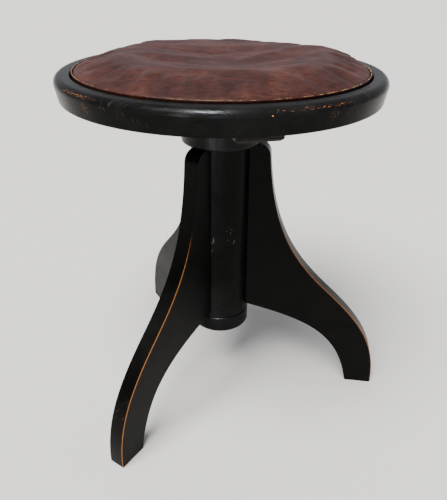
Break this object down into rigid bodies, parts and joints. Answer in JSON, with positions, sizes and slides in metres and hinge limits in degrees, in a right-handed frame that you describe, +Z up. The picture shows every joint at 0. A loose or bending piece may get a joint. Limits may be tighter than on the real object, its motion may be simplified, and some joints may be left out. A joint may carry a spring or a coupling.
{
  "type": "revolving piano stool",
  "caption": "Round padded stool whose seat turns on a threaded spindle to change its height, on a turned column with three sawn board legs.",
  "frame": {"origin": "the column's axis at floor level", "axes": "+Z up along the column's axis, -Y towards the front, so +X is to the right of someone who faces the stool"},
  "size_m": [0.4236, 0.406, 0.4713],
  "materials": {
    "black_wood": "ebonised, worn satin polish",
    "batten_wood": "dark red-brown stain, matt",
    "board_wood": "bare softwood",
    "cast_iron": "black, as cast",
    "spindle_steel": "turned and oiled",
    "screw_steel": "dull, aged",
    "stuffing": "loose fibre",
    "leather": "creased, worn satin"
  },
  "bodies": {
    "base": {"column": "black_wood", "column_cap": "black_wood", "cap_screws": "screw_steel", "leg_right": "black_wood", "leg_left": "black_wood", "leg_rear": "black_wood", "spindle_nut": "cast_iron", "nut_screws": "screw_steel"},
    "lift": {"stop_washer": "spindle_steel"},
    "seat": {"spindle": "spindle_steel", "stop_screw": "screw_steel", "spindle_plate": "cast_iron", "plate_screws": "screw_steel", "batten": "batten_wood", "batten_screws": "screw_steel", "seat_dish": "black_wood", "pad_board": "board_wood", "pad_screws": "screw_steel", "leather_tacks": "screw_steel", "pad_stuffing": "stuffing", "pad_leather": "leather"}
  },
  "joints": [
    {"name": "seat_lift", "type": "slide", "parent": "base", "child": "lift", "axis": [0, 0, 1], "range_m": [0, 0.1081]},
    {"name": "seat_turn", "type": "hinge", "parent": "lift", "child": "seat", "pos_m": [0, 0, 0.4], "axis": [0, 0, 1], "range_deg": [0, 6480]}
  ],
  "couplings": [
    {"joint": "seat_lift", "follows": "seat_turn", "m_per_rad": 0.00095493}
  ]
}
